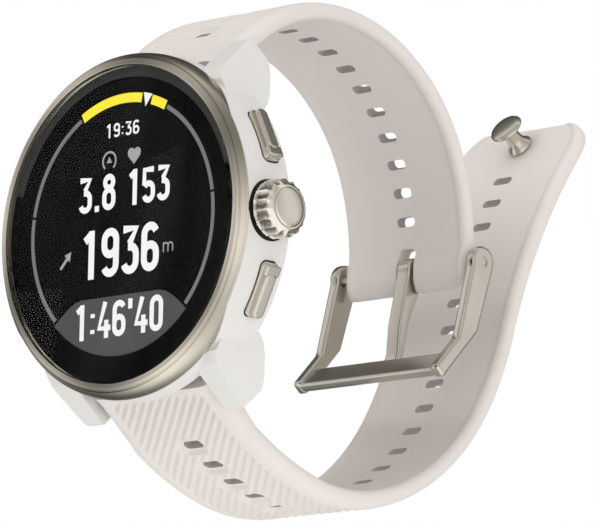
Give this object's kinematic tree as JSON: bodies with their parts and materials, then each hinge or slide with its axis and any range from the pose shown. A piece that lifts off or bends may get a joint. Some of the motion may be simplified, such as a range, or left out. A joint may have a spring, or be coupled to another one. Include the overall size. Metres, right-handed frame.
{
  "type": "gps running watch",
  "caption": "Round sports watch with a steel bezel, press-and-turn crown, side buttons and a quick-release silicone strap with a pin buckle.",
  "frame": {"origin": "centre of the sensor window's flat wrist face", "axes": "+Y into the wrist, -Y out of the dial, +Z towards 12 o'clock, +X towards 3 o'clock and the crown"},
  "size_m": [0.0484, 0.0811, 0.0661],
  "materials": {
    "case_polymer": "satin moulded fibre-filled polymer",
    "bezel_steel": "brushed, warm champagne tint",
    "steel": "satin",
    "lens": "polished, clear over a black display",
    "display": "dark display, lit figures",
    "silicone": "matt moulded silicone",
    "inner_polymer": "fine texture",
    "rubber": "matt",
    "circuit": "satin solder mask",
    "copper": "satin",
    "brass": "polished",
    "foil": "foil pouch",
    "window": "polished dark window",
    "optics": "clear resin"
  },
  "bodies": {
    "case": {"mid_case": "case_polymer", "bezel": "bezel_steel", "bezel_gasket": "rubber", "glass_lens": "lens", "lens_gasket": "rubber", "display_panel": "display", "antenna_ring": "copper", "inner_frame": "inner_polymer", "battery": "foil", "main_board": "circuit", "display_flex": "copper", "vibration_motor": "steel", "buzzer": "brass", "back_cover": "inner_polymer", "back_gasket": "rubber", "cover_screws": "steel", "sensor_window": "window", "sensor_board": "circuit", "sensor_optics": "optics", "charge_contacts": "brass", "crown_tube": "steel", "crown_switch": "inner_polymer", "upper_button_spring": "steel", "upper_button_seal": "rubber", "upper_button_switch": "inner_polymer", "lower_button_spring": "steel", "lower_button_seal": "rubber", "lower_button_switch": "inner_polymer"},
    "upper_button": {"upper_button": "steel", "upper_button_clip": "steel"},
    "lower_button": {"lower_button": "steel", "lower_button_clip": "steel"},
    "crown_push": {"crown_push_cap": "inner_polymer"},
    "crown": {"crown_head": "steel", "crown_cap": "steel", "crown_stem": "steel", "crown_seal": "rubber", "crown_clip": "steel"},
    "upper_strap": {"upper_strap": "silicone", "upper_spring_bar": "steel", "upper_bar_spring": "steel"},
    "upper_release": {"upper_release_pin": "steel"},
    "lower_strap": {"lower_strap": "silicone", "lower_spring_bar": "steel", "lower_bar_spring": "steel", "tail_stud": "steel"},
    "lower_release": {"lower_release_pin": "steel"},
    "buckle": {"buckle_frame": "steel", "buckle_bar": "steel"},
    "tongue": {"buckle_tongue": "steel"}
  },
  "joints": [
    {"name": "upper_button_press", "type": "slide", "parent": "case", "child": "upper_button", "axis": [-0.8988, 0, -0.4384], "range_m": [0, 0.0004], "stiffness_N_per_m": 3000, "springref_m": -0.0003},
    {"name": "lower_button_press", "type": "slide", "parent": "case", "child": "lower_button", "axis": [-0.8988, 0, 0.4384], "range_m": [0, 0.0004], "stiffness_N_per_m": 3000, "springref_m": -0.0003},
    {"name": "crown_press", "type": "slide", "parent": "case", "child": "crown_push", "axis": [-1, 0, 0], "range_m": [0, 0.00045], "stiffness_N_per_m": 3000, "springref_m": -0.0003},
    {"name": "crown_turn", "type": "hinge", "parent": "crown_push", "child": "crown", "pos_m": [0.02, -0.0062, 0], "axis": [1, 0, 0], "continuous": true},
    {"name": "upper_strap_hinge", "type": "hinge", "parent": "case", "child": "upper_strap", "pos_m": [0, -0.0024, 0.021], "axis": [1, 0, 0], "range_deg": [-6, 30]},
    {"name": "lower_strap_hinge", "type": "hinge", "parent": "case", "child": "lower_strap", "pos_m": [0, -0.0024, -0.021], "axis": [-1, 0, 0], "range_deg": [-4, 30]},
    {"name": "upper_release_slide", "type": "slide", "parent": "upper_strap", "child": "upper_release", "axis": [-1, 0, 0], "range_m": [0, 0.0014], "stiffness_N_per_m": 600, "springref_m": -0.001},
    {"name": "lower_release_slide", "type": "slide", "parent": "lower_strap", "child": "lower_release", "axis": [-1, 0, 0], "range_m": [0, 0.0014], "stiffness_N_per_m": 600, "springref_m": -0.001},
    {"name": "buckle_swing", "type": "hinge", "parent": "upper_strap", "child": "buckle", "pos_m": [0, 0.044, 0.0013], "axis": [1, 0, 0], "range_deg": [-20, 18]},
    {"name": "tongue_swing", "type": "hinge", "parent": "buckle", "child": "tongue", "pos_m": [0, 0.044, 0.0013], "axis": [1, 0, 0], "range_deg": [0, 15]}
  ]
}
